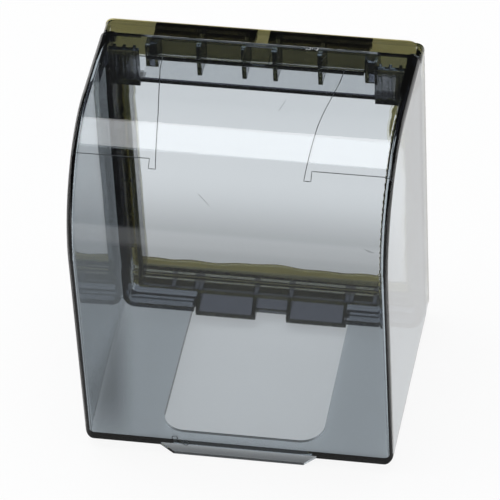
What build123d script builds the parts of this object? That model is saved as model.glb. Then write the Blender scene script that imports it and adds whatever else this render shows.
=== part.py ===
"""Splash hood for a square wall socket: a clear frame stuck to the wall and a deep lid hinged to its top.

Millimetres. X runs to the right, the hood stands out from the wall towards -Y, and Z is up.
The origin is the centre of the frame on the wall plane, which is the back of the release liner.
A "reach" is a distance from the wall plane, measured towards the front.
"""

import math
import os

from build123d import *

# Opening round the socket plate, and the frame's borders round the opening
window_width = 87.4
window_height = 92.5
side_border = 7.8
sill_border = 6.5
head_border = 14.2
base_corner_top = 2.5
base_corner_bottom = 4.0

# Tape and its liner, between the frame and the wall
liner_thickness = 0.12
tape_thickness = 0.9
tape_inset = 0.5
liner_margin = 0.4
strip_joint = 0.3

# Frame walls
plate_thickness = 2.0
flange_wall = 2.0
flange_reach = 9.65
inner_wall = 1.6
inner_wall_reach = 8.0
step_thickness = 2.0
rim_thickness = 2.0
rim_reach = 16.0
rim_corner = 4.0
rim_side_gap = 0.35
rim_floor_gap = 0.8

# Box section along the top of the frame
top_wall = 1.8
top_wall_reach = 19.0
top_wall_lap = 1.3
top_centre_gap = 8.5
shelf_thickness = 1.4
shelf_reach = 15.0
top_rib_places = (5.0, 19.5)
top_rib_thickness = 1.45
top_rib_reach = 11.3
post_gap = 0.4
post_width = 4.0
post_wall = 1.1
post_reach = 8.7
post_height = 8.4
corner_plate_width = 9.7
corner_plate_thickness = 1.6
corner_plate_reach = 17.0
corner_rib_count = 3
corner_rib_margin = 1.6
corner_rib_width = 1.0
corner_rib_depth = 1.3

# Ribs in the side channels and in the bottom channel
side_rib_pitch = 14.6
side_rib_thickness = 1.2
side_rib_reach = 6.8
bottom_rib_places = (26.2, 34.0)
bottom_rib_thickness = 1.2
outlet_block_start = 5.2
outlet_block_end = 25.4
outlet_block_reach = 13.5
outlet_end_thickness = 1.3

# Stop bosses on the inside of the rim
stop_diameter = 5.3
stop_height = 1.2
stop_reach = 12.4
stop_below_pivot = 9.4

# Lid
skin = 2.0
lid_top_gap = 0.35
lid_back_gap = 0.3
lid_floor_rise = 1.0
lid_reach = 77.8
lid_front_taper = 1.0
nose_radius = 38.0
nose_behind_front = 35.5
nose_below_top = 36.35
lid_corner = 3.0
outlet_width = 52.8
outlet_front_border = 6.5
outlet_corner = 7.75
lip_height = 3.6
lip_top_width = 51.0
lip_bottom_width = 42.6
lip_thickness = 2.0

# Hinge
pivot_inset = 2.35
pin_radius = 1.2
pin_clearance = 0.05
pin_head_radius = 2.0
pin_head_thickness = 0.7
pin_seat_depth = 1.1
pin_head_gap = 0.1
ear_thickness = 1.4
ear_gap = 0.3
ear_radius = 2.3
ear_root_reach = 24.0
ear_drop = 5.8
ear_rim_gap = 0.5

# How far the hand-laid tape stands out into the window, from left to right or from bottom to top
bottom_overhang = (3.9, 4.4, 3.5, 3.9, 3.1, 2.7)
top_overhang = (1.6, 1.9, 1.4, 1.8, 1.5, 1.7)
left_overhang = (0.3, 0.6, 0.1, 0.5, 0.2, 0.4)
right_overhang = (0.4, 0.1, 0.6, 0.2, 0.5, 0.3)

# Places worked out from the sizes
base_width = window_width + 2 * side_border
base_height = window_height + sill_border + head_border
half_width = base_width / 2
base_bottom = -base_height / 2
base_top = base_height / 2
tape_reach = liner_thickness + tape_thickness
plate_reach = tape_reach + plate_thickness
window_half = window_width / 2
window_bottom = base_bottom + sill_border
window_top = window_bottom + window_height
channel_half = half_width - flange_wall
rim_half = half_width - skin - rim_side_gap
shelf_top = window_top + shelf_thickness
pivot_reach = flange_reach - pivot_inset
pivot_height = base_top - pivot_inset
lid_back = flange_reach + lid_back_gap
lid_floor = base_bottom + lid_floor_rise
lid_top = base_top + lid_top_gap + skin
rim_bottom = lid_floor + skin + rim_floor_gap
ear_outer = channel_half - ear_gap
ear_inner = ear_outer - ear_thickness
ear_bottom = pivot_height - ear_drop
rim_top = ear_bottom - ear_rim_gap
corner_plate_end = ear_inner - ear_gap
corner_plate_start = corner_plate_end - corner_plate_width
post_end = corner_plate_start - post_gap
post_start = post_end - post_width
top_wall_end = post_start + top_wall_lap
overlap = 0.2


def spaced(start, end, count):
    """Evenly spaced values from start to end."""
    return [start + (end - start) * number / (count - 1) for number in range(count)]


def block(x_range, reach_range, z_range):
    """A box given by its range along X, its range of reach and its range along Z."""
    near, far = reach_range
    corner = Location((min(x_range), -max(near, far), min(z_range)))
    size = (abs(x_range[1] - x_range[0]), abs(far - near), abs(z_range[1] - z_range[0]))
    return corner * Box(*size, align=(Align.MIN, Align.MIN, Align.MIN))


def slab(face, near, far):
    """A face drawn in X and Z, made solid between two reaches."""
    return extrude(Plane.XZ.offset(near) * face, far - near)


def across(points, x_range):
    """A polygon of (reach, height) points, made solid along X."""
    outline = Polyline(*[(0, -reach, height) for reach, height in points], close=True)
    solid = extrude(make_face(outline), abs(x_range[1] - x_range[0]), dir=(1, 0, 0))
    return Pos(min(x_range), 0, 0) * solid


def disc(radius, x_range, reach, height):
    """A cylinder along X."""
    length = abs(x_range[1] - x_range[0])
    middle = (x_range[0] + x_range[1]) / 2
    return Pos(middle, -reach, height) * Rot(0, 90, 0) * Cylinder(radius, length)


def both_sides(make):
    """The shape that make(side) gives, on the left and on the right."""
    return [make(side) for side in (-1, 1)]


def frame_outline(margin):
    """The frame's outline, grown by a margin all round."""
    outline = Rectangle(base_width + 2 * margin, base_height + 2 * margin)
    top_corners = outline.vertices().group_by(Axis.Y)[-1]
    outline = fillet(top_corners, base_corner_top + margin)
    bottom_corners = outline.vertices().group_by(Axis.Y)[0]
    return fillet(bottom_corners, base_corner_bottom + margin)


def tray_outline(half, bottom, top, corner):
    """A rectangle with its two bottom corners rounded."""
    outline = Pos(0, (bottom + top) / 2) * Rectangle(2 * half, top - bottom)
    return fillet(outline.vertices().group_by(Axis.Y)[0], corner)


def window(margin=0.0):
    """The opening for the socket plate, grown by a margin all round."""
    middle = (window_bottom + window_top) / 2
    return Pos(0, middle) * Rectangle(window_width + 2 * margin, window_height + 2 * margin)


def base_shell():
    """Back plate, outer wall, stepped rim and the wall round the window."""
    outline = frame_outline(0)
    plate = slab(outline - window(), tape_reach, plate_reach)
    hollow = tray_outline(channel_half, base_bottom + flange_wall, base_top + overlap, rim_thickness)
    flange = slab(outline - hollow, tape_reach, flange_reach)
    rim_inside_bottom = rim_bottom + rim_thickness
    rim_inside = tray_outline(
        rim_half - rim_thickness, rim_inside_bottom, base_top + overlap, rim_corner - rim_thickness
    )
    step_outline = tray_outline(half_width, base_bottom, rim_top, base_corner_bottom)
    step = slab(step_outline - rim_inside, flange_reach - step_thickness, flange_reach)
    rim_outline = tray_outline(rim_half, rim_bottom, rim_top, rim_corner)
    rim = slab(rim_outline - rim_inside, flange_reach - step_thickness, rim_reach)
    inner = slab(window(inner_wall) - window(), tape_reach, inner_wall_reach)
    return plate + flange + step + rim + inner


def pivot_clearing():
    """What comes off the front top corners of the outer wall, so that they are round about the pivot."""
    all_across = (-half_width - overlap, half_width + overlap)
    corner = block(
        all_across, (pivot_reach, flange_reach + overlap), (pivot_height, base_top + overlap)
    )
    return corner - disc(pivot_inset, all_across, pivot_reach, pivot_height)


def top_section():
    """Shelf, top wall in two lengths, ribs, posts and the plates that close the hinge corners."""
    shelf = block((-rim_half, rim_half), (tape_reach, shelf_reach), (window_top, shelf_top))
    wall_under = base_top - top_wall
    pieces = [shelf]
    for side in (-1, 1):
        wall_x = (side * top_centre_gap / 2, side * top_wall_end)
        pieces.append(block(wall_x, (tape_reach, top_wall_reach), (wall_under, base_top)))
        for place in top_rib_places:
            rib_x = (side * (place - top_rib_thickness / 2), side * (place + top_rib_thickness / 2))
            pieces.append(
                block(rib_x, (tape_reach, top_rib_reach), (window_top, wall_under + overlap))
            )
        pieces += hinge_post(side)
        pieces += corner_plate(side)
    return pieces


def hinge_post(side):
    """A three-sided post at the end of the top wall, open at its top."""
    post_top = shelf_top + post_height
    height = (window_top, post_top)
    front = block((side * post_start, side * post_end), (post_reach - post_wall, post_reach), height)
    near = block((side * post_start, side * (post_start + post_wall)), (tape_reach, post_reach), height)
    far = block((side * (post_end - post_wall), side * post_end), (tape_reach, post_reach), height)
    return [front, near, far]


def corner_plate(side):
    """The upright plate in front of a hinge corner, with three small ribs on its back."""
    back = corner_plate_reach - corner_plate_thickness
    height = (window_top, base_top)
    plate_x = (side * corner_plate_start, side * corner_plate_end)
    foot = block(plate_x, (plate_reach, corner_plate_reach), (window_top, shelf_top))
    plate = block(plate_x, (back, corner_plate_reach), height)
    pieces = [foot, plate]
    first = corner_plate_start + corner_rib_margin
    last = corner_plate_end - corner_rib_margin
    for place in spaced(first, last, corner_rib_count):
        rib_x = (side * (place - corner_rib_width / 2), side * (place + corner_rib_width / 2))
        pieces.append(block(rib_x, (back - corner_rib_depth, back + overlap), height))
    return pieces


def side_ribs():
    """Cross ribs between the window wall and the outer wall, up both sides."""
    first = base_bottom + flange_wall
    count = int((window_top - first) / side_rib_pitch) + 1
    pieces = []
    for number in range(count):
        middle = window_bottom + number * side_rib_pitch
        height = (middle - side_rib_thickness / 2, middle + side_rib_thickness / 2)
        for side in (-1, 1):
            rib_x = (side * (window_half + inner_wall / 2), side * (channel_half + overlap))
            pieces.append(block(rib_x, (tape_reach, side_rib_reach), height))
    return pieces


def bottom_section():
    """Bottom wall round the cable outlet, its end walls, and the ribs up to the sill."""
    wall_top = base_bottom + flange_wall
    sill_under = window_bottom - inner_wall
    pieces = []
    for side in (-1, 1):
        start = side * outlet_block_start
        end = side * outlet_block_end
        pieces.append(block((start, end), (tape_reach, outlet_block_reach), (base_bottom, wall_top)))
        cheek = [
            (tape_reach, base_bottom),
            (outlet_block_reach, base_bottom),
            (outlet_block_reach, wall_top),
            (inner_wall_reach, window_bottom),
            (tape_reach, window_bottom),
        ]
        pieces.append(across(cheek, (start, start + side * outlet_end_thickness)))
        pieces.append(across(cheek, (end - side * outlet_end_thickness, end)))
        for place in bottom_rib_places:
            rib_x = (side * (place - bottom_rib_thickness / 2), side * (place + bottom_rib_thickness / 2))
            pieces.append(
                block(rib_x, (tape_reach, side_rib_reach), (base_bottom, sill_under + overlap))
            )
    return pieces


def make_base_frame():
    """The frame that is stuck to the wall: one moulding."""
    frame = base_shell() - pivot_clearing()
    outlet = block(
        (-outlet_block_end, outlet_block_end),
        (flange_reach - step_thickness, rim_reach + overlap),
        (base_bottom + flange_wall, rim_bottom + rim_thickness + overlap),
    )
    rim_floor = block(
        (-outlet_block_end, outlet_block_end),
        (flange_reach, rim_reach + overlap),
        (base_bottom, rim_bottom + rim_thickness + overlap),
    )
    sill = block(
        (-window_half, window_half),
        (tape_reach, inner_wall_reach),
        (window_bottom - inner_wall, window_bottom),
    )
    frame = frame - outlet - rim_floor + sill
    frame = frame + top_section() + side_ribs() + bottom_section()
    stops = both_sides(
        lambda side: disc(
            stop_diameter / 2,
            (side * (rim_half - rim_thickness - stop_height), side * (rim_half - overlap)),
            stop_reach,
            pivot_height - stop_below_pivot,
        )
    )
    seats = both_sides(
        lambda side: disc(
            pin_radius, (side * (channel_half - overlap), side * (channel_half + pin_seat_depth)),
            pivot_reach, pivot_height,
        )
    )
    return frame + stops - seats


def tangent_normal(point, centre, radius, turn):
    """The unit normal of the line through a point that touches a circle, turned to one side or the other."""
    away = (point[0] - centre[0], point[1] - centre[1])
    distance = math.hypot(*away)
    angle = math.atan2(away[1], away[0]) + turn * math.acos(radius / distance)
    return (math.cos(angle), math.sin(angle))


def line_at(centre, normal, radius, along, value):
    """The point of a tangent line that has one given coordinate: along 0 is Y, 1 is Z."""
    other = 1 - along
    start = (centre[0] + radius * normal[0], centre[1] + radius * normal[1])
    direction = (-normal[1], normal[0])
    steps = (value - start[along]) / direction[along]
    point = [0.0, 0.0]
    point[along] = value
    point[other] = start[other] + steps * direction[other]
    return tuple(point)


def hood_profile(inset, back):
    """The hood's side outline, moved in by an inset, as a face in Y and Z that ends at a given Y."""
    centre = (-(lid_reach - nose_behind_front), lid_top - nose_below_top)
    front_foot = (-lid_reach, lid_floor)
    top_edge = (-lid_back, lid_top)
    front = tangent_normal(front_foot, centre, nose_radius, -1)
    top = tangent_normal(top_edge, centre, nose_radius, 1)
    radius = nose_radius - inset
    floor = lid_floor + inset
    foot = line_at(centre, front, radius, 1, floor)
    front_end = (centre[0] + radius * front[0], centre[1] + radius * front[1])
    top_start = (centre[0] + radius * top[0], centre[1] + radius * top[1])
    back_top = line_at(centre, top, radius, 0, back)
    half = (math.atan2(front[1], front[0]) % (2 * math.pi) + math.atan2(top[1], top[0])) / 2
    middle = (centre[0] + radius * math.cos(half), centre[1] + radius * math.sin(half))
    back_foot = (back, floor)

    def point(pair):
        return (0, pair[0], pair[1])

    edges = [
        Line(point(back_foot), point(foot)),
        Line(point(foot), point(front_end)),
        ThreePointArc(point(front_end), point(middle), point(top_start)),
        Line(point(top_start), point(back_top)),
        Line(point(back_top), point(back_foot)),
    ]
    return make_face(edges)


def hood_solid(inset, back, corner):
    """The hood as a solid block: its side outline along X, narrowed towards the front, with rounded sides."""
    face = hood_profile(inset, back)
    half = half_width - inset
    slope = lid_front_taper / (lid_reach - lid_back)
    front_reach = nose_radius + lid_reach
    front_half = half - slope * (front_reach - lid_back)
    back_half = half - slope * (-back - lid_back)
    plan = Polyline(
        (-back_half, back),
        (back_half, back),
        (front_half, -front_reach),
        (-front_half, -front_reach),
        close=True,
    )
    height = lid_top + nose_radius - base_bottom
    column = Pos(0, 0, base_bottom) * extrude(make_face(plan), height)
    solid = extrude(Pos(-half_width, 0, 0) * face, base_width, dir=(1, 0, 0)) & column
    side_edges = [
        edge
        for edge in solid.edges()
        if abs(edge.center().X) > front_half - overlap and edge.center().Y < back - overlap
    ]
    return fillet(side_edges, corner)


def outlet_cutter():
    """The wide slot in the lid's floor that cables leave by, open towards the wall."""
    front = lid_reach - outlet_front_border
    outline = Pos(0, -front / 2) * Rectangle(outlet_width, front)
    outline = fillet(outline.vertices().group_by(Axis.Y)[0], outlet_corner)
    return Pos(0, 0, lid_floor - overlap) * extrude(outline, skin + 2 * overlap)


def finger_lip():
    """The lip under the lid's front edge that a finger lifts."""
    outline = Polyline(
        (-lip_top_width / 2, lid_floor + skin / 2),
        (-lip_top_width / 2, lid_floor),
        (-lip_bottom_width / 2, lid_floor - lip_height),
        (lip_bottom_width / 2, lid_floor - lip_height),
        (lip_top_width / 2, lid_floor),
        (lip_top_width / 2, lid_floor + skin / 2),
        close=True,
    )
    return slab(make_face(outline), lid_reach - lip_thickness, lid_reach)


def ear(side):
    """The plate that carries the lid back from its side wall to the pivot."""
    plate_x = (side * ear_inner, side * ear_outer)
    eye = disc(ear_radius, plate_x, pivot_reach, pivot_height)
    skin_under = lid_top - skin
    arm = [
        (pivot_reach, pivot_height + ear_radius),
        (lid_back, skin_under + overlap),
        (ear_root_reach, skin_under + overlap),
        (ear_root_reach, skin_under - ear_drop / 2),
        (lid_back + ear_drop / 2, ear_bottom),
        (pivot_reach, pivot_height - ear_radius),
    ]
    root = [
        (lid_back + overlap, skin_under + overlap),
        (ear_root_reach, skin_under + overlap),
        (ear_root_reach, skin_under - ear_drop / 2),
        (lid_back + ear_drop / 2, ear_bottom),
        (lid_back + overlap, ear_bottom),
    ]
    root_x = (side * ear_inner, side * (channel_half + overlap))
    return eye + across(arm, plate_x) + across(root, root_x)


def make_lid():
    """The hood: a curved skin, two side walls and a floor, in one moulding."""
    outer = hood_solid(0, -lid_back, lid_corner)
    inner = hood_solid(skin, 0, lid_corner - skin)
    lid = outer - inner - outlet_cutter() + finger_lip() + both_sides(ear)
    bores = both_sides(
        lambda side: disc(
            pin_radius + pin_clearance, (side * (ear_inner - overlap), side * (channel_half + overlap / 2)),
            pivot_reach, pivot_height,
        )
    )
    return lid - bores


def make_hinge_pin(side):
    """A headed pin, pushed outwards through the ear into its seat in the frame's side wall."""
    head_face = ear_inner - pin_head_gap
    shank_x = (side * (head_face - overlap), side * (channel_half + pin_seat_depth))
    head_x = (side * (head_face - pin_head_thickness), side * head_face)
    shank = disc(pin_radius, shank_x, pivot_reach, pivot_height)
    return shank + disc(pin_head_radius, head_x, pivot_reach, pivot_height)


def strip_face(wave, outer_corners):
    """A face between a wavy inner edge and two outer corners."""
    inner = Spline(*wave)
    outer = Polyline(wave[-1], outer_corners[1], outer_corners[0], wave[0])
    return make_face(inner.edges() + outer.edges())


def strip_faces():
    """The four strips of tape in X and Z, before their outer edges are trimmed to the frame."""
    far_x = half_width + 2 * liner_margin
    low_z = base_bottom - 2 * liner_margin
    high_z = base_top + 2 * liner_margin
    count = len(bottom_overhang)
    along_x = spaced(-far_x, far_x, count)
    bottom_wave = [(x, window_bottom + out) for x, out in zip(along_x, bottom_overhang)]
    top_wave = [(x, window_top - out) for x, out in zip(along_x, top_overhang)]
    faces = {
        "bottom": strip_face(bottom_wave, [(-far_x, low_z), (far_x, low_z)]),
        "top": strip_face(top_wave, [(-far_x, high_z), (far_x, high_z)]),
    }
    side_start = window_bottom + max(bottom_overhang) + strip_joint
    side_end = window_top - max(top_overhang) - strip_joint
    along_z = spaced(side_start, side_end, count)
    left_wave = [(-window_half + out, z) for z, out in zip(along_z, left_overhang)]
    right_wave = [(window_half - out, z) for z, out in zip(along_z, right_overhang)]
    faces["left"] = strip_face(left_wave, [(-far_x, side_start), (-far_x, side_end)])
    faces["right"] = strip_face(right_wave, [(far_x, side_start), (far_x, side_end)])
    return faces


def make_strip(face, margin, near, far):
    """A strip trimmed to the frame's outline and given its thickness."""
    return slab(face & frame_outline(margin), near, far)


os.makedirs("parts", exist_ok=True)

nodes = {"base_frame": make_base_frame(), "lid": make_lid()}
for side_name, side_sign in (("left", -1), ("right", 1)):
    nodes[f"hinge_pin_{side_name}"] = make_hinge_pin(side_sign)
for strip_name, strip in strip_faces().items():
    nodes[f"adhesive_tape_{strip_name}"] = make_strip(strip, -tape_inset, liner_thickness, tape_reach)
    nodes[f"release_liner_{strip_name}"] = make_strip(strip, liner_margin, 0, liner_thickness)

for node_name, shape in nodes.items():
    export_step(shape, f"parts/{node_name}.step")
    print(node_name, len(shape.solids()), "solid", round(shape.volume, 1), "mm3")
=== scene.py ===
"""Splash hood for a wall socket, dressed over its CAD frame. Metres, +Z up, the hood stands out to -Y."""

import math
import random

import bmesh
import bpy
from mathutils import Matrix, Vector


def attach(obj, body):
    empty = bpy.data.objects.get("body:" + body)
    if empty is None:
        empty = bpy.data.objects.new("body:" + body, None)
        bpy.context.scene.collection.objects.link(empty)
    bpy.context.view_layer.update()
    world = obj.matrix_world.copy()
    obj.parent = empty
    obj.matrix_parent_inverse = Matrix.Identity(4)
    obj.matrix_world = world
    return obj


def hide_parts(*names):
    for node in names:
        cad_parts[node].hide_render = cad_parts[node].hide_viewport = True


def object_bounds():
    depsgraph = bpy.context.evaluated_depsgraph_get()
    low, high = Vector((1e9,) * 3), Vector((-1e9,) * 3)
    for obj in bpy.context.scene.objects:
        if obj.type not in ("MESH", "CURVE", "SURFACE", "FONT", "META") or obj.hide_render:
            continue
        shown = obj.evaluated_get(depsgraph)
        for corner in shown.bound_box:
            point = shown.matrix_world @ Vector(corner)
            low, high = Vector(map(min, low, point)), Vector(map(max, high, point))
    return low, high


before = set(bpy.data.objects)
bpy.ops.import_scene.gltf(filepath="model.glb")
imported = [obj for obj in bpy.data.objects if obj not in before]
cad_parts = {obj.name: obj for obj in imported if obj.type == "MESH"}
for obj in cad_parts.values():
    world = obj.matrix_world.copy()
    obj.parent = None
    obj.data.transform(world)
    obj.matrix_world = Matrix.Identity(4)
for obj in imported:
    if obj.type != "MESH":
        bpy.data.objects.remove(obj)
cad_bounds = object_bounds()
scene = bpy.context.scene
scene.view_settings.view_transform = "Standard"
mm = 0.001

# Camera. The photograph's long lens looks down on the hood from its front, a little to its right,
# and is turned slightly about its own axis.
camera_azimuth = math.radians(11.83)
camera_elevation = math.radians(41.67)
camera_roll = math.radians(-3.16)
camera_place = Vector((0.2108, -1.0478, 0.9143))
camera_sensor = 36.0
camera_lens = 309.6
camera_near = 0.05

camera_data = bpy.data.cameras.new("camera")
camera_data.sensor_width = camera_sensor
camera_data.lens = camera_lens
camera_data.clip_start = camera_near
camera = bpy.data.objects.new("camera", camera_data)
scene.collection.objects.link(camera)
tilt = Matrix.Rotation(math.radians(90) - camera_elevation, 4, "X")
turn = Matrix.Rotation(camera_azimuth, 4, "Z")
roll = Matrix.Rotation(camera_roll, 4, "Z")
camera.matrix_world = Matrix.Translation(camera_place) @ turn @ tilt @ roll
scene.camera = camera


# Studio. A white floor, one wide softbox overhead that draws the bright band across the hood's nose,
# and a world that is white at the level of the table and dark above it and over a black card behind the
# right-hand side, so that edges read black.
def feed(tree, socket, value):
    """Give a socket another node's output, or a value of its own."""
    if isinstance(value, bpy.types.NodeSocket):
        tree.links.new(value, socket)
    else:
        socket.default_value = value


def put(tree, kind, **inputs):
    """A new node with some of its inputs fed."""
    node = tree.nodes.new(kind)
    for name, value in inputs.items():
        feed(tree, node.inputs[name.replace("_", " ")], value)
    return node


def math_node(tree, operation, *values):
    """The output of a Math node."""
    node = tree.nodes.new("ShaderNodeMath")
    node.operation = operation
    for socket, value in zip(node.inputs, values):
        feed(tree, socket, value)
    return node.outputs[0]


def product(tree, *factors):
    """Two or more values multiplied."""
    result = factors[0]
    for factor in factors[1:]:
        result = math_node(tree, "MULTIPLY", result, factor)
    return result


def largest(tree, *values):
    """The largest of two or more values."""
    result = values[0]
    for value in values[1:]:
        result = math_node(tree, "MAXIMUM", result, value)
    return result


def blend_values(tree, share, first, second):
    """The output of a Mix node on plain values."""
    node = tree.nodes.new("ShaderNodeMix")
    feed(tree, node.inputs[0], share)
    feed(tree, node.inputs[2], first)
    feed(tree, node.inputs[3], second)
    return node.outputs[0]


def blend_colours(tree, share, first, second):
    """The output of a Mix node on colours."""
    node = tree.nodes.new("ShaderNodeMix")
    node.data_type = "RGBA"
    feed(tree, node.inputs[0], share)
    feed(tree, node.inputs[6], first)
    feed(tree, node.inputs[7], second)
    return node.outputs[2]


def ramp(tree, value, start, end, low=0.0, high=1.0):
    """A smooth step from low to high as the value goes from start to end."""
    node = put(tree, "ShaderNodeMapRange", Value=value)
    node.interpolation_type = "SMOOTHSTEP"
    node.inputs["From Min"].default_value = start
    node.inputs["From Max"].default_value = end
    node.inputs["To Min"].default_value = low
    node.inputs["To Max"].default_value = high
    return node.outputs["Result"]


def new_material(name):
    """An empty node material, its tree and its output node."""
    material = bpy.data.materials.new(name)
    material.use_nodes = True
    tree = material.node_tree
    tree.nodes.clear()
    return material, tree, tree.nodes.new("ShaderNodeOutputMaterial")


floor_height = cad_bounds[0][2] - 0.4 * mm
floor_half = 3.0
floor_white = (0.88, 0.89, 0.90, 1.0)
floor_shaded = (0.0, 0.0, 0.0, 1.0)
floor_seen = 0.9
floor_seen_through = 0.5

floor_mesh = bpy.data.meshes.new("floor")
floor_corners = [(-1, -1), (1, -1), (1, 1), (-1, 1)]
floor_points = [(floor_half * x, floor_half * y, floor_height) for x, y in floor_corners]
floor_mesh.from_pydata(floor_points, [], [(0, 1, 2, 3)])
floor = bpy.data.objects.new("floor", floor_mesh)
scene.collection.objects.link(floor)

# The floor's own glow shows it white. Painted shadow darkens its glow and paint to the left of the hood,
# behind it and in front of it, for every ray but the camera's. Each pair gives the two ends of a shade's soft
# edge.
shade_slant = 0.21
shade_left = 0.55
left_edge = (-48 * mm, -58 * mm)
left_far = (-100 * mm, -180 * mm)
left_near_camera = (-85 * mm, -50 * mm)
left_near_wall = (90 * mm, 180 * mm)
shade_behind = 0.44
behind_edge = (-6 * mm, 8 * mm)
behind_far = (18 * mm, 60 * mm)
behind_right = (38 * mm, 46 * mm)
shade_front = 0.65
front_edge = (-68 * mm, -75 * mm)
front_far = (-300 * mm, -500 * mm)

floor_material, tree, output = new_material("studio_floor")
axes = put(tree, "ShaderNodeSeparateXYZ", Vector=put(tree, "ShaderNodeTexCoord").outputs["Object"])
ahead = axes.outputs["Y"]
slanted = math_node(tree, "ADD", axes.outputs["X"], product(tree, ahead, shade_slant))
left = product(
    tree,
    ramp(tree, slanted, *left_edge),
    ramp(tree, slanted, *left_far, 1.0, 0.0),
    ramp(tree, ahead, *left_near_camera),
    ramp(tree, ahead, *left_near_wall, 1.0, 0.0),
)
behind = product(
    tree,
    ramp(tree, ahead, *behind_edge),
    ramp(tree, ahead, *behind_far, 1.0, 0.0),
    ramp(tree, slanted, *behind_right, 1.0, 0.0),
)
front = product(tree, ramp(tree, ahead, *front_edge), ramp(tree, ahead, *front_far, 1.0, 0.0))
shade = largest(
    tree,
    product(tree, left, shade_left),
    product(tree, behind, shade_behind),
    product(tree, front, shade_front),
)
lit = math_node(tree, "SUBTRACT", 1.0, shade)
path = put(tree, "ShaderNodeLightPath")
is_camera = path.outputs["Is Camera Ray"]
unscattered = math_node(tree, "LESS_THAN", path.outputs["Diffuse Depth"], 0.5)
outside = math_node(tree, "LESS_THAN", path.outputs["Transmission Depth"], 0.5)
through = product(tree, path.outputs["Is Transmission Ray"], floor_seen_through)
inner_gloss = product(tree, path.outputs["Is Glossy Ray"], floor_seen_through)
outer_gloss = product(tree, path.outputs["Is Glossy Ray"], outside)
share = product(tree, largest(tree, through, inner_gloss, outer_gloss), unscattered)
share = largest(tree, share, product(tree, is_camera, floor_seen))
lit = blend_values(tree, is_camera, lit, 1.0)
paper = put(tree, "ShaderNodeBsdfDiffuse", Color=blend_colours(tree, lit, floor_shaded, floor_white))
glow = put(tree, "ShaderNodeEmission", Strength=lit)
mix = put(tree, "ShaderNodeMixShader", Fac=share)
tree.links.new(paper.outputs[0], mix.inputs[1])
tree.links.new(glow.outputs[0], mix.inputs[2])
tree.links.new(mix.outputs[0], output.inputs["Surface"])
floor_mesh.materials.append(floor_material)

world_white = (1.0, 1.0, 1.0, 1.0)
world_seen = 1.0
world_diffuse = 0.6
horizon_level = 1.0
ceiling_level = 0.06
horizon_edge = (-0.02, 0.08)
card_edge = (0.3, 0.45)

world = bpy.data.worlds.new("studio")
scene.world = world
world.use_nodes = True
tree = world.node_tree
tree.nodes.clear()
axes = put(tree, "ShaderNodeSeparateXYZ", Vector=put(tree, "ShaderNodeTexCoord").outputs["Generated"])
ceiling = ramp(tree, axes.outputs["Z"], *horizon_edge, horizon_level, ceiling_level)
card_side = ramp(tree, axes.outputs["X"], *card_edge)
card_back = ramp(tree, axes.outputs["Y"], *card_edge)
ceiling = blend_values(tree, product(tree, card_side, card_back), ceiling, ceiling_level)
path = put(tree, "ShaderNodeLightPath")
scattered = math_node(tree, "GREATER_THAN", path.outputs["Diffuse Depth"], 0.5)
unseen = blend_values(tree, scattered, ceiling, world_diffuse)
level = blend_values(tree, path.outputs["Is Camera Ray"], unseen, world_seen)
sky = put(tree, "ShaderNodeBackground", Color=world_white, Strength=level)
output = tree.nodes.new("ShaderNodeOutputWorld")
tree.links.new(sky.outputs[0], output.inputs["Surface"])

softbox_size = (0.95, 0.56)
softbox_place = (-0.16, 0.02, 1.1)
softbox_power = 6.8
softbox_data = bpy.data.lights.new("softbox", "AREA")
softbox_data.shape = "RECTANGLE"
softbox_data.size, softbox_data.size_y = softbox_size
softbox_data.energy = softbox_power
softbox = bpy.data.objects.new("softbox", softbox_data)
softbox.location = softbox_place
scene.collection.objects.link(softbox)


# Wall frame: one moulding of smoked clear plastic, stuck to the wall with tape. Its edges are softened
# slightly, as a moulding's are, and its plastic darkens with the length of the light's way through it.
# Painted shade darkens its surfaces further, box by box.
def painted_shade_box_group():
    """A shader group whose Mask is 1 inside a box of painted shade and fades out over Edge around it. With
    Fold at 1 the box lies on both sides alike."""
    group = bpy.data.node_groups.new("painted_shade_box", "ShaderNodeTree")
    for name in ("Place", "Low", "High"):
        group.interface.new_socket(name, in_out="INPUT", socket_type="NodeSocketVector")
    for name in ("Edge", "Fold"):
        group.interface.new_socket(name, in_out="INPUT", socket_type="NodeSocketFloat")
    group.interface.new_socket("Mask", in_out="OUTPUT", socket_type="NodeSocketFloat")
    entry = group.nodes.new("NodeGroupInput")
    exit_node = group.nodes.new("NodeGroupOutput")
    parts = put(group, "ShaderNodeSeparateXYZ", Vector=entry.outputs["Place"])
    mirrored = math_node(group, "ABSOLUTE", parts.outputs["X"])
    across = blend_values(group, entry.outputs["Fold"], parts.outputs["X"], mirrored)
    folded = put(group, "ShaderNodeCombineXYZ", X=across, Y=parts.outputs["Y"], Z=parts.outputs["Z"])
    margins = []
    place = folded.outputs[0]
    for first, second in ((place, entry.outputs["Low"]), (entry.outputs["High"], place)):
        margin = group.nodes.new("ShaderNodeVectorMath")
        margin.operation = "SUBTRACT"
        group.links.new(first, margin.inputs[0])
        group.links.new(second, margin.inputs[1])
        margins.append(margin.outputs[0])
    least = group.nodes.new("ShaderNodeVectorMath")
    least.operation = "MINIMUM"
    group.links.new(margins[0], least.inputs[0])
    group.links.new(margins[1], least.inputs[1])
    sides = put(group, "ShaderNodeSeparateXYZ", Vector=least.outputs[0])
    depth = math_node(group, "MINIMUM", sides.outputs["Y"], sides.outputs["Z"])
    depth = math_node(group, "MINIMUM", sides.outputs["X"], depth)
    fade = put(group, "ShaderNodeMapRange", Value=depth)
    group.links.new(product(group, entry.outputs["Edge"], -1.0), fade.inputs["From Min"])
    fade.inputs["From Max"].default_value = 0.0
    group.links.new(fade.outputs["Result"], exit_node.inputs["Mask"])
    return group


smoke_tint = (0.22, 0.335, 0.41, 1.0)
clear_tint = (0.965, 0.975, 0.985, 1.0)
plastic_index = 1.52
noise_span = (0.3, 0.7)
painted_shade_edge = 0.15 * mm
painted_shade_box = painted_shade_box_group()


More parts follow.
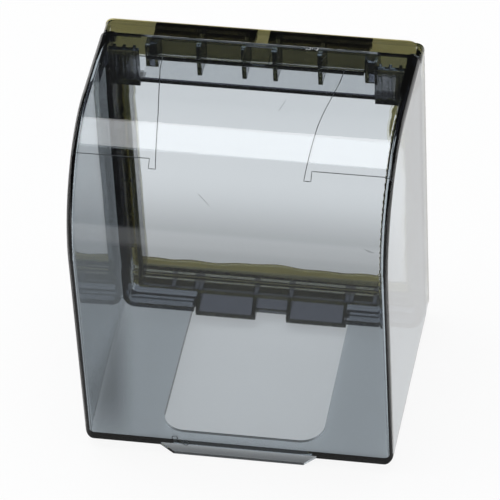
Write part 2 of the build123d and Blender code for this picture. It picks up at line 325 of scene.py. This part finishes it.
def painted_shade_tint(tree, place, tint, low, high, painted_shade_colour, fold=1.0):
    """The tint, with painted shade darkening the surfaces inside a box. The box is in mm and on the right
    side, and it is mirrored to the left side unless fold is 0."""
    mask = tree.nodes.new("ShaderNodeGroup")
    mask.node_tree = painted_shade_box
    tree.links.new(place, mask.inputs["Place"])
    mask.inputs["Low"].default_value = [value * mm for value in low]
    mask.inputs["High"].default_value = [value * mm for value in high]
    mask.inputs["Edge"].default_value = painted_shade_edge
    mask.inputs["Fold"].default_value = fold
    return blend_colours(tree, mask.outputs["Mask"], tint, (*painted_shade_colour, 1.0))


def relief(tree, strength, depth, height):
    """The normal of a surface with a fine relief on it."""
    return put(tree, "ShaderNodeBump", Strength=strength, Distance=depth, Height=height).outputs["Normal"]


def smoked_plastic(name, sections, waves, gloss_tint, density):
    """Smoked clear plastic, with painted shade darkening its surfaces in each of its sections, a later one
    over an earlier.
    """
    material, tree, output = new_material(name)
    place = put(tree, "ShaderNodeTexCoord").outputs["Object"]
    tint = clear_tint
    for section in sections.values():
        tint = painted_shade_tint(tree, place, tint, *section)
    flow = put(tree, "ShaderNodeTexNoise", Vector=place, Scale=24.0, Detail=1.0)
    grain = put(tree, "ShaderNodeTexNoise", Vector=place, Scale=900.0, Detail=2.0)
    polish = ramp(tree, grain.outputs["Fac"], *noise_span, 0.0, 0.04)
    swell = relief(tree, waves, 0.5 * mm, flow.outputs["Fac"])
    body = put(tree, "ShaderNodeBsdfPrincipled", Base_Color=tint, Roughness=polish, Normal=swell)
    body.inputs["IOR"].default_value = plastic_index
    body.inputs["Transmission Weight"].default_value = 1.0
    body.inputs["Specular Tint"].default_value = (gloss_tint, gloss_tint, gloss_tint, 1.0)
    smoke = put(tree, "ShaderNodeVolumeAbsorption", Color=smoke_tint, Density=density)
    tree.links.new(body.outputs[0], output.inputs["Surface"])
    tree.links.new(smoke.outputs[0], output.inputs["Volume"])
    return material


def plain_mesh(piece):
    """Apply the piece's modifiers."""
    graph = bpy.context.evaluated_depsgraph_get()
    mesh = bpy.data.meshes.new_from_object(piece.evaluated_get(graph))
    piece.modifiers.clear()
    piece.data = mesh


def add_block(shell, low, high):
    """A closed box in a bmesh, its corners in mm."""
    places = [(x, y, z) for x in (low[0], high[0]) for y in (low[1], high[1]) for z in (low[2], high[2])]
    corners = [shell.verts.new(Vector(place) * mm) for place in places]
    for face in ((0, 1, 3, 2), (4, 6, 7, 5), (0, 4, 5, 1), (2, 3, 7, 6), (0, 2, 6, 4), (1, 5, 7, 3)):
        shell.faces.new([corners[index] for index in face])


def flatten_step(shell, high, low):
    """Bring the points at one height in mm down to another."""
    for vert in shell.verts:
        if abs(vert.co.z - high * mm) < same_place * mm:
            vert.co.z = low * mm


def round_front(shell, front, radius):
    """Round the level edges that lie in the plane y = front, in mm."""
    front_edges = []
    for edge in shell.edges:
        start, end = [vert.co / mm for vert in edge.verts]
        level = abs(start.z - end.z) < same_height and abs(start.y - end.y) < same_height
        if level and abs(start.y - front) < same_place:
            front_edges.append(edge)
    bmesh.ops.bevel(
        shell, geom=front_edges, offset=radius * mm, segments=front_steps, profile=0.5, affect="EDGES"
    )


weld = 0.002 * mm
same_place = 0.05
same_height = 0.01
flat_angle = math.radians(0.5)
sharp_angle = math.radians(35)
edge_steps = 2
front_steps = 4
flat_pull = 80


def moulding_copy(node, name, edge_round, material, blocks=(), step=None, front=None):
    """A merged copy of a CAD node with its flat faces whole and its edges rounded. Blocks may be added to it,
    a step in it made flat and its front end rounded."""
    shell = bmesh.new()
    shell.from_mesh(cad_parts[node].data)
    if step:
        flatten_step(shell, *step)
    bmesh.ops.remove_doubles(shell, verts=shell.verts, dist=weld)
    bmesh.ops.dissolve_degenerate(shell, edges=shell.edges, dist=weld)
    bmesh.ops.dissolve_limit(shell, angle_limit=flat_angle, verts=shell.verts, edges=shell.edges)
    for low, high in blocks:
        add_block(shell, low, high)
    if front:
        round_front(shell, *front)
    mesh = bpy.data.meshes.new(name)
    shell.to_mesh(mesh)
    shell.free()
    mesh.materials.clear()
    mesh.materials.append(material)
    mesh.shade_smooth()
    piece = bpy.data.objects.new(name, mesh)
    scene.collection.objects.link(piece)
    bevel = piece.modifiers.new("edges", "BEVEL")
    bevel.width = edge_round
    bevel.segments = edge_steps
    bevel.limit_method = "ANGLE"
    bevel.angle_limit = sharp_angle
    bevel.use_clamp_overlap = True
    level = piece.modifiers.new("flats", "WEIGHTED_NORMAL")
    level.mode = "FACE_AREA"
    level.weight = flat_pull
    plain_mesh(piece)
    return piece


# Tints of the painted shade, in the frame's and the hood's boxes and on the tape.
black = (0.01, 0.01, 0.015)
ink = (0.08, 0.08, 0.10)
brown = (0.17, 0.165, 0.155)
slate = (0.20, 0.21, 0.25)
lead = (0.22, 0.22, 0.23)
olive = (0.34, 0.32, 0.20)
grey = (0.45, 0.45, 0.45)
warm_grey = (0.45, 0.45, 0.43)
mist = (0.52, 0.52, 0.52)
sand = (0.64, 0.63, 0.60)
haze = (0.66, 0.67, 0.69)

# The frame's painted shade, on both sides alike. Each stretch is a box in mm, given by its lowest and highest
# corner, with the dark tint painted on the surfaces in it. One that lies across the middle starts just past
# it.
past_middle = -1.0
top_wall_end = 34.9
shelf_end = 37.5
channel_foot = -50.0
channel_turn = -40.0
channel_waist = 20.0
sill_end = 43.8
sill_under = -50.6
sill_over = -49.9
top_rib_places = (5.0, 19.5)
top_rib_half = 0.8
sill_ribs = ((4.9, 6.8), (23.8, 27.1), (33.2, 34.8))

frame_painted_shade = {
    "top wall under the hood": ((past_middle, -17.6, 54.5), (top_wall_end, -9.7, 56.8), mist),
    "top wall behind the hood": ((2.1, -9.7, 54.5), (top_wall_end, -3.6, 56.8), brown),
    "top wall at the tape": ((2.1, -4.6, 54.5), (top_wall_end, -0.9, 56.8), black),
}
for place in top_rib_places:
    low = (place - top_rib_half, -11.4, 43.9)
    high = (place + top_rib_half, -1.0, 54.7)
    frame_painted_shade[f"top rib at {place}"] = (low, high, slate)
frame_painted_shade |= {
    "post beside the ribs": ((33.3, -8.8, 43.9), (shelf_end, -1.0, 52.3), slate),
    "hinge corner": ((37.0, -17.3, 42.2), (48.0, -11.0, 56.0), lead),
    "shelf": ((past_middle, -14.2, 43.2), (shelf_end, -1.0, 43.9), haze),
    "shelf's front edge": ((past_middle, -15.2, 42.3), (shelf_end, -14.3, 43.9), black),
    "rim": ((47.9, -16.3, channel_foot), (49.4, -3.2, channel_waist), black),
    "rim, upper part": ((46.9, -16.3, channel_waist), (49.4, -3.2, 48.1), black),
    "inner wall, upper part": ((43.6, -8.2, channel_waist), (45.4, -3.1, 42.3), grey),
    "inner wall": ((43.6, -8.2, channel_foot), (45.4, -3.1, channel_waist), ink),
    "plate in the channel": ((45.3, -3.2, channel_foot), (47.5, -0.9, 42.3), olive),
    "plate under the rim": ((47.4, -3.2, channel_turn), (49.6, -0.9, 42.3), ink),
    "rim's inner face": ((46.9, -16.3, channel_turn), (47.9, -7.4, channel_waist), black),
    "outer wall's inner face": ((49.3, -9.7, channel_turn), (49.8, -3.0, 42.0), black),
    "rim's foot": ((past_middle, -16.3, -56.7), (49.6, -3.2, -51.0), slate),
    "plate under the sill": ((past_middle, -3.3, -56.8), (49.6, -0.9, -51.0), warm_grey),
    "sill": ((past_middle, -8.2, sill_under), (sill_end, -3.1, sill_over), sand),
    "sill's front edge": ((past_middle, -8.2, -51.8), (sill_end, -7.6, sill_over), grey),
}
for start, end in sill_ribs:
    low = (start, -8.2, sill_under)
    high = (end, -3.1, sill_over)
    frame_painted_shade[f"sill over the rib at {start}"] = (low, high, ink)
frame_painted_shade["sill's back edge"] = ((past_middle, -3.1, sill_under), (sill_end, -2.3, sill_over), black)

frame_round = 0.15 * mm
frame_gloss = 0.5
frame_density = 105.0
frame_plastic = smoked_plastic("smoked_plastic_frame", frame_painted_shade, 0.0, frame_gloss, frame_density)

# The top wall is whole in front of the hood's back edge. Behind that edge it has only a narrow gap in its
# middle. The shelf under it is flat, and its front end is round.
wall_under = 54.82
wall_top = 56.58
gap_half = 2.1
gap_edge = 4.23
top_wall_fill = [
    ((-gap_edge, -18.98, wall_under), (gap_edge, -9.67, wall_top)),
    ((-gap_edge, -9.66, wall_under), (-gap_half, -1.04, wall_top)),
    ((gap_half, -9.66, wall_under), (gap_edge, -1.04, wall_top)),
]
shelf_step = (44.0, 43.8)
wall_front = (-19.0, 0.8)
frame_piece = moulding_copy(
    "base_frame", "wall_frame", frame_round, frame_plastic, top_wall_fill, shelf_step, wall_front
)
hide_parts("base_frame")
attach(frame_piece, "frame")

# Hood: the lid, one moulding of the same plastic. Its skin is a little wavy, so the softbox's image wanders.
# Black painted shade lies round its hinge ears and along its upper edges, partly on the right-hand side only.
right_only = 0.0
hood_painted_shade = {
    "hinge ear": ((47.6, -24.3, 48.2), (49.9, -5.0, 57.2), black),
    "edge over the nose": ((49.4, -50.0, 56.8), (52.0, -34.0, 61.0), black),
    # Painted shade that lies on the right-hand side only, where that side reads darker.
    "right edge at the back": ((47.9, -30.0, 56.3), (51.5, -10.0, 61.5), black, right_only),
    "right edge over the nose": ((48.8, -48.0, 56.8), (51.5, -30.0, 61.5), black, right_only),
    "corner of the back edge": ((38.0, -10.7, 56.5), (52.0, -9.8, 59.1), black),
}
hood_round = 0.25 * mm
hood_waves = 0.16
hood_gloss = 1.0
hood_density = 200.0
hood_plastic = smoked_plastic("smoked_plastic_hood", hood_painted_shade, hood_waves, hood_gloss, hood_density)
hood_piece = moulding_copy("lid", "hood_shell", hood_round, hood_plastic)
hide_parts("lid")
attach(hood_piece, "hood")

# Witness lines: fine raised lines on the hood's skin, where the parts of its mould met, a pale bead along its
# sawn back edge that is a painted glint, two gate marks low on its front and a few hairline scratches.
nose_radius = 38.0
nose_middle = (-42.3, 22.6)
nose_joins = -40.3
skin_back = (-9.95, 58.95)
skin_slope = 0.0526
side_half = 51.5
side_slope = 1.0 / 67.85
side_round = 3.0
skin_sink = 0.14


def skin_point(x, y, sink=skin_sink):
    """A point just under the hood's outer skin, over the nose or behind it, from places in mm."""
    across = min(max((y - nose_middle[0]) / nose_radius, -1.0), 1.0)
    over_nose = nose_middle[1] + nose_radius * math.sqrt(1.0 - across * across)
    behind_nose = skin_back[1] + (skin_back[0] - y) * skin_slope
    height = behind_nose if y > nose_joins else over_nose
    into_corner = max(abs(x) - (side_half - (skin_back[0] - y) * side_slope - side_round), 0.0)
    drop = side_round - math.sqrt(max(side_round**2 - into_corner**2, 0.0))
    return Vector((x, y, height - drop - sink)) * mm


def skin_path(stops, spacing=1.0):
    """Points on the skin along straight runs between stops, each given as (x, y) in mm."""
    points = []
    for first, second in zip(stops, stops[1:]):
        count = max(int(math.dist(first, second) / spacing), 1)
        for step in range(count):
            share = step / count
            x = first[0] + (second[0] - first[0]) * share
            y = first[1] + (second[1] - first[1]) * share
            points.append(skin_point(x, y))
    points.append(skin_point(*stops[-1]))
    return points


def open_tree(name, **inputs):
    """A Geometry Nodes tree with named inputs, its input node, and what a modifier calls each input."""
    tree = bpy.data.node_groups.new(name, "GeometryNodeTree")
    tree.interface.new_socket("Geometry", in_out="INPUT", socket_type="NodeSocketGeometry")
    sockets = {}
    for label, kind in inputs.items():
        socket = tree.interface.new_socket(label, in_out="INPUT", socket_type=f"NodeSocket{kind}")
        sockets[label] = socket.identifier
    tree.interface.new_socket("Geometry", in_out="OUTPUT", socket_type="NodeSocketGeometry")
    return tree, tree.nodes.new("NodeGroupInput"), sockets


def close_tree(tree, entry, geometry):
    """End a Geometry Nodes tree with real geometry in the material that it is given."""
    real = tree.nodes.new("GeometryNodeRealizeInstances")
    dress = tree.nodes.new("GeometryNodeSetMaterial")
    exit_node = tree.nodes.new("NodeGroupOutput")
    tree.links.new(geometry, real.inputs["Geometry"])
    tree.links.new(real.outputs["Geometry"], dress.inputs["Geometry"])
    tree.links.new(entry.outputs["Material"], dress.inputs["Material"])
    tree.links.new(dress.outputs["Geometry"], exit_node.inputs["Geometry"])


def grown_piece(name, mesh, tree, sockets, **values):
    """What a Geometry Nodes tree grows from a mesh, as a piece of the hood."""
    piece = bpy.data.objects.new(name, mesh)
    scene.collection.objects.link(piece)
    growth = piece.modifiers.new("growth", "NODES")
    growth.node_group = tree
    for label, value in values.items():
        growth[sockets[label]] = value
    plain_mesh(piece)
    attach(piece, "hood")


def bead_tree():
    """Geometry Nodes: a thin round bead along every edge of the mesh."""
    tree, entry, sockets = open_tree("moulded_bead", Width="Float", Material="Material")
    curve = tree.nodes.new("GeometryNodeMeshToCurve")
    ring = tree.nodes.new("GeometryNodeCurvePrimitiveCircle")
    ring.inputs["Resolution"].default_value = 6
    sweep = tree.nodes.new("GeometryNodeCurveToMesh")
    sweep.inputs["Fill Caps"].default_value = True
    tree.links.new(entry.outputs["Geometry"], curve.inputs["Mesh"])
    tree.links.new(product(tree, entry.outputs["Width"], 0.5), ring.inputs["Radius"])
    tree.links.new(curve.outputs["Curve"], sweep.inputs["Curve"])
    tree.links.new(ring.outputs["Curve"], sweep.inputs["Profile Curve"])
    close_tree(tree, entry, sweep.outputs["Mesh"])
    return tree, sockets


bead_nodes, bead_sockets = bead_tree()


def bead_piece(name, runs, width, material):
    """A bead along each run of points, on the hood."""
    verts = []
    edges = []
    for run in runs:
        start = len(verts)
        verts += run
        edges += [(index, index + 1) for index in range(start, len(verts) - 1)]
    mesh = bpy.data.meshes.new(name)
    mesh.from_pydata(verts, edges, [])
    grown_piece(name, mesh, bead_nodes, bead_sockets, Width=width, Material=material)


def line_plastic(name, dull, bright, see_through):
    """The plastic of a fine line, uneven along its length."""
    material, tree, output = new_material(name)
    place = put(tree, "ShaderNodeTexCoord").outputs["Object"]
    patches = put(tree, "ShaderNodeTexNoise", Vector=place, Scale=220.0, Detail=2.0)
    share = ramp(tree, patches.outputs["Fac"], 0.35, 0.65)
    body = put(tree, "ShaderNodeBsdfPrincipled", Base_Color=blend_colours(tree, share, dull, bright))
    feed(tree, body.inputs["Roughness"], ramp(tree, patches.outputs["Fac"], *noise_span, 0.25, 0.5))
    body.inputs["IOR"].default_value = plastic_index
    body.inputs["Transmission Weight"].default_value = see_through
    tree.links.new(body.outputs[0], output.inputs["Surface"])
    return material


# The lines' dark grey is painted shade, standing in for the dark look of a fine step of clear plastic bending
# the light.
witness_plastic = line_plastic("witness_line", (0.09, 0.10, 0.11, 1.0), (0.16, 0.18, 0.19, 1.0), 0.6)
witness_width = 0.27 * mm
tab_line = [
    (50.3, -63.6), (25.4, -63.6), (25.4, -66.2), (23.2, -66.2), (24.0, -59.0), (25.1, -49.0), (27.0, -37.0),
    (28.6, -27.0), (29.0, -21.0),
]
corner_line = [(48.5, -35.0), (49.2, -50.0), (49.7, -63.6)]
witness_runs = []
for side in (-1.0, 1.0):
    for stops in (tab_line, corner_line):
        witness_runs.append(skin_path([(side * x, y) for x, y in stops]))
bead_piece("witness_lines", witness_runs, witness_width, witness_plastic)

# Painted glint: the bead's pale grey stands in for the light caught along the back edge.
glint_plastic = line_plastic("painted_glint", (0.16, 0.17, 0.17, 1.0), (0.62, 0.64, 0.65, 1.0), 0.3)
glint_width = 0.14 * mm
glint_half = 37
glint_inset = 0.12
glint_sink = 0.02
glint_places = range(-glint_half, glint_half + 1)
glint_run = [skin_point(x, skin_back[0] - glint_inset, glint_sink) for x in glint_places]
bead_piece("back_edge_painted_glint", [glint_run], glint_width, glint_plastic)

gate_places = [(-20.5, -52.0), (-17.0, -54.0)]
gate_radius = 0.9
gate_steps = 12
front_foot = Vector((0.0, -77.8, -55.6))
front_lean = 0.0368
gate_runs = []
for x, z in gate_places:
    ring = []
    for step in range(gate_steps + 1):
        around = math.tau * step / gate_steps
        height = z + gate_radius * math.sin(around)
        reach = front_foot.y - (height - front_foot.z) * front_lean
        ring.append(Vector((x + gate_radius * math.cos(around), reach, height)) * mm)
    gate_runs.append(ring)
bead_piece("gate_marks", gate_runs, witness_width, witness_plastic)

scratch_width = 0.1 * mm
scratch_stops = [
    [(43.4, -77.7), (45.6, -77.9)],
    [(44.2, -77.9), (46.4, -78.0)],
    [(-9.0, -71.0), (-5.5, -73.0)],
    [(12.0, -44.0), (13.4, -38.5)],
    [(21.0, -17.0), (22.2, -14.0)],
]
scratch_runs = [skin_path(stops) for stops in scratch_stops]
bead_piece("scratches", scratch_runs, scratch_width, witness_plastic)


# Specks: grains of dust that have settled all over the hood's skin, and pale grains gathered at one place on
# its back edge as painted glints.
def speck_tree():
    """Geometry Nodes: small round grains scattered over the faces of the mesh."""
    tree, entry, sockets = open_tree(
        "dust_and_glint_specks", Density="Float", Smallest="Float", Largest="Float", Material="Material"
    )
    scatter = tree.nodes.new("GeometryNodeDistributePointsOnFaces")
    scatter.inputs["Seed"].default_value = 4
    grain = tree.nodes.new("GeometryNodeMeshIcoSphere")
    grain.inputs["Radius"].default_value = 1.0
    grain.inputs["Subdivisions"].default_value = 1
    size = tree.nodes.new("FunctionNodeRandomValue")
    size.data_type = "FLOAT"
    size.inputs["Seed"].default_value = 9
    place = tree.nodes.new("GeometryNodeInstanceOnPoints")
    tree.links.new(entry.outputs["Geometry"], scatter.inputs["Mesh"])
    tree.links.new(entry.outputs["Density"], scatter.inputs["Density"])
    tree.links.new(entry.outputs["Smallest"], size.inputs[2])
    tree.links.new(entry.outputs["Largest"], size.inputs[3])
    tree.links.new(scatter.outputs["Points"], place.inputs["Points"])
    tree.links.new(grain.outputs["Mesh"], place.inputs["Instance"])
    tree.links.new(size.outputs[1], place.inputs["Scale"])
    close_tree(tree, entry, place.outputs["Instances"])
    return tree, sockets


speck_nodes, speck_sockets = speck_tree()
dust_and_glint_material = line_plastic("dust_and_glint_specks", (0.55, 0.56, 0.56, 1.0), (0.85, 0.86, 0.86, 1.0), 0.0)
dust_and_glint_specks = {
    "skin_specks": {
        "x": (-48.0, 48.0), "y": (-79.5, -12.0), "cells": (24, 30), "density": 5500.0, "size": (0.04, 0.13)
    },
    "edge_glints": {
        "x": (14.5, 19.5), "y": (-11.6, -10.2), "cells": (4, 2), "density": 2500000.0, "size": (0.1, 0.26)
    },
}


def skin_strip(name, x_range, y_range, columns, rows):
    """A grid laid on the hood's skin."""
    verts = []
    for row in range(rows + 1):
        y = y_range[0] + (y_range[1] - y_range[0]) * row / rows
        for column in range(columns + 1):
            x = x_range[0] + (x_range[1] - x_range[0]) * column / columns
            verts.append(skin_point(x, y))
    faces = []
    for row in range(rows):
        for column in range(columns):
            first = row * (columns + 1) + column
            faces.append((first, first + 1, first + columns + 2, first + columns + 1))
    mesh = bpy.data.meshes.new(name)
    mesh.from_pydata(verts, [], faces)
    return mesh


for name, spread in dust_and_glint_specks.items():
    strip = skin_strip(name, spread["x"], spread["y"], *spread["cells"])
    smallest, biggest = [value * mm for value in spread["size"]]
    grown_piece(
        name, strip, speck_nodes, speck_sockets,
        Density=spread["density"], Smallest=smallest, Largest=biggest, Material=dust_and_glint_material,
    )

# Hinge pins: two short headed pins of black acetal, turned on a lathe, each pushed through one of the hood's
# ears into the frame's side wall. Their solids stay as they are and get this finish.
pin_material, tree, output = new_material("black_acetal")
place = put(tree, "ShaderNodeTexCoord").outputs["Object"]
turning = put(tree, "ShaderNodeTexWave", Vector=place, Scale=900.0, Distortion=0.6)
mottle = put(tree, "ShaderNodeTexNoise", Vector=place, Scale=700.0, Detail=3.0)
tint = blend_colours(tree, mottle.outputs["Fac"], (0.014, 0.014, 0.016, 1.0), (0.035, 0.035, 0.038, 1.0))
polish = ramp(tree, mottle.outputs["Fac"], *noise_span, 0.3, 0.5)
tooled = relief(tree, 0.25, 0.02 * mm, turning.outputs["Fac"])
body = put(tree, "ShaderNodeBsdfPrincipled", Base_Color=tint, Roughness=polish, Normal=tooled)
tree.links.new(body.outputs[0], output.inputs["Surface"])
for side in ("left", "right"):
    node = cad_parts[f"hinge_pin_{side}"]
    node.data.materials.clear()
    node.data.materials.append(pin_material)

# Adhesive tape: four strips of clear acrylic tape behind the frame, cut by hand, so that the edges that stand
# out into the window are wavy. They lie flat against the frame's back and hold it to the wall.
tape_index = 1.47
tape_material, tree, output = new_material("clear_tape")
place = put(tree, "ShaderNodeTexCoord").outputs["Object"]
pull = put(tree, "ShaderNodeTexNoise", Vector=place, Scale=160.0, Detail=3.0)
bubbles = put(tree, "ShaderNodeTexVoronoi", Vector=place, Scale=650.0)
tint = blend_colours(tree, pull.outputs["Fac"], (0.98, 0.97, 0.90, 1.0), (0.94, 0.92, 0.80, 1.0))
# Painted shade: the tape is tinted black behind the top wall, where it reads dark.
tint = painted_shade_tint(tree, place, tint, (2.1, -1.1, 55.6), (top_wall_end, 0.1, 56.8), black)
blisters = ramp(tree, bubbles.outputs["Distance"], 0.15, 0.3, 0.0, 0.4)
uneven = math_node(tree, "ADD", pull.outputs["Fac"], blisters)
ripples = relief(tree, 0.25, 0.05 * mm, uneven)
cloud = ramp(tree, pull.outputs["Fac"], *noise_span, 0.02, 0.10)
body = put(tree, "ShaderNodeBsdfPrincipled", Base_Color=tint, Roughness=cloud, Normal=ripples)
body.inputs["IOR"].default_value = tape_index
body.inputs["Transmission Weight"].default_value = 1.0
tree.links.new(body.outputs[0], output.inputs["Surface"])

window_half = 43.7
window_sill = -50.1
window_head = 42.4
frame_top = 56.6
frame_side = 51.5
frame_bottom = -56.6
strips = {
    "top": {"outer": frame_top - 0.2, "inner": window_head - 1.2, "swing": 0.5, "seed": 3},
    "bottom": {"outer": frame_bottom + 0.8, "inner": window_sill + 2.6, "swing": 1.3, "seed": 5},
    "left": {"outer": -frame_side + 0.3, "inner": -window_half - 0.6, "swing": 0.2, "seed": 7},
    "right": {"outer": frame_side - 1.9, "inner": window_half - 1.6, "swing": 0.5, "seed": 5},
}
strips["right"]["lobe"] = (20.5, 8.0, 2.4)
no_lobe = (0.0, 1.0, 0.0)
strip_steps = 60
strip_waves = ((0.5, 1.3), (0.3, 3.1), (0.2, 6.7))
corner_straight = 41.0
wave_fade = 6.0
butt_gap = 0.06


def strip_rings(along, outer, inner, swing, round_ends, seed, lobe):
    """Places along a strip in mm, each with its straight outer edge, rounded off at the ends, and its wavy
    inner edge, which is straight past the window's corners, where the next strip butts against it."""
    dice = random.Random(seed)
    phases = [dice.uniform(0.0, math.tau) for wave in strip_waves]
    lobe_middle, lobe_half, lobe_depth = lobe
    rings = []
    for step in range(strip_steps + 1):
        share = 0.5 - 0.5 * math.cos(math.pi * step / strip_steps)
        place = along[0] + (along[1] - along[0]) * share
        turn = math.tau * share
        wave = 0.0
        for (height, turns), phase in zip(strip_waves, phases):
            wave += height * math.sin(turns * turn + phase)
        wave *= min(max((corner_straight - abs(place)) / wave_fade, 0.0), 1.0)
        tongue = lobe_depth * math.sqrt(max(1.0 - ((place - lobe_middle) / lobe_half) ** 2, 0.0))
        edge = inner + swing * wave - math.copysign(tongue, inner)
        into_end = max(round_ends - min(place - along[0], along[1] - place), 0.0)
        drop = round_ends - math.sqrt(max(round_ends**2 - into_end**2, 0.0))
        rings.append((place, outer - math.copysign(drop, outer), edge))
    return rings


def strip_piece(name, side, rings, depth, material):
    """The closed body of a strip on one side of the frame, on the frame's body."""
    shell = bmesh.new()
    sections = []
    for place, outer, inner in rings:
        corners = []
        for cross, y in ((outer, depth[0]), (inner, depth[0]), (inner, depth[1]), (outer, depth[1])):
            x, z = (place, cross) if side in ("top", "bottom") else (cross, place)
            corners.append(shell.verts.new(Vector((x, y, z)) * mm))
        sections.append(corners)
    for first, second in zip(sections, sections[1:]):
        for index in range(4):
            after = (index + 1) % 4
            shell.faces.new((first[index], first[after], second[after], second[index]))
    shell.faces.new(sections[0])
    shell.faces.new(sections[-1])
    bmesh.ops.recalc_face_normals(shell, faces=shell.faces)
    mesh = bpy.data.meshes.new(name)
    shell.to_mesh(mesh)
    shell.free()
    mesh.materials.append(material)
    piece = bpy.data.objects.new(name, mesh)
    scene.collection.objects.link(piece)
    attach(piece, "frame")
    return piece


def strip_run(side, across, proud):
    """Where a strip starts and ends: right across the frame, or between the top and bottom strips."""
    if side in ("top", "bottom"):
        return across
    low = strips["bottom"]["inner"] + proud + butt_gap
    high = strips["top"]["inner"] - proud - butt_gap
    return low, high


tape_depth = (-1.05, -0.12)
tape_across = (-49.8, 49.0)
tape_round = 2.0
tape_proud = 0.7
for side, cut in strips.items():
    round_ends = tape_round if side in ("top", "bottom") else 0.0
    along = strip_run(side, tape_across, tape_proud)
    inner = cut["inner"] - math.copysign(tape_proud, cut["inner"])
    lobe = cut.get("lobe", no_lobe)
    rings = strip_rings(along, cut["outer"], inner, cut["swing"], round_ends, cut["seed"], lobe)
    tape = strip_piece(f"tape_strip_{side}", side, rings, tape_depth, tape_material)
    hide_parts(f"adhesive_tape_{side}")

# Release liner: waxed yellow paper in four strips, still on the tape's outer face and standing out past it a
# little at the top left. Light from behind shows through it.
liner_yellow = (0.95, 0.89, 0.48, 1.0)
liner_pale = (0.98, 0.94, 0.66, 1.0)
liner_through = (1.0, 0.96, 0.66, 1.0)
liner_share = 0.85
paper_material, tree, output = new_material("liner_paper")
place = put(tree, "ShaderNodeTexCoord").outputs["Object"]
fibres = put(tree, "ShaderNodeTexNoise", Vector=place, Scale=420.0, Detail=5.0, Roughness=0.7)
wax = put(tree, "ShaderNodeTexNoise", Vector=place, Scale=60.0, Detail=2.0)
tint = blend_colours(tree, fibres.outputs["Fac"], liner_yellow, liner_pale)
crinkle = relief(tree, 0.2, 0.03 * mm, fibres.outputs["Fac"])
sheen = ramp(tree, wax.outputs["Fac"], *noise_span, 0.35, 0.55)
body = put(tree, "ShaderNodeBsdfPrincipled", Base_Color=tint, Roughness=sheen, Normal=crinkle)
through = put(tree, "ShaderNodeBsdfTranslucent", Color=liner_through, Normal=crinkle)
mix = put(tree, "ShaderNodeMixShader", Fac=liner_share)
tree.links.new(body.outputs[0], mix.inputs[1])
tree.links.new(through.outputs[0], mix.inputs[2])
tree.links.new(mix.outputs[0], output.inputs["Surface"])

liner_depth = (-0.15, 0.0)
liner_spread = {"top": 0.1, "bottom": 0.25, "left": 0.25, "right": 0.25}
liner_top_run = (-51.8, 49.2)
liner_round = 2.9
for side, cut in strips.items():
    along = strip_run(side, liner_top_run if side == "top" else tape_across, 0.0)
    outer = cut["outer"] + math.copysign(liner_spread[side], cut["outer"])
    round_ends = liner_round if side in ("top", "bottom") else 0.0
    lobe = cut.get("lobe", no_lobe)
    rings = strip_rings(along, outer, cut["inner"], cut["swing"], round_ends, cut["seed"], lobe)
    paper = strip_piece(f"liner_{side}", side, rings, liner_depth, paper_material)
    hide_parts(f"release_liner_{side}")
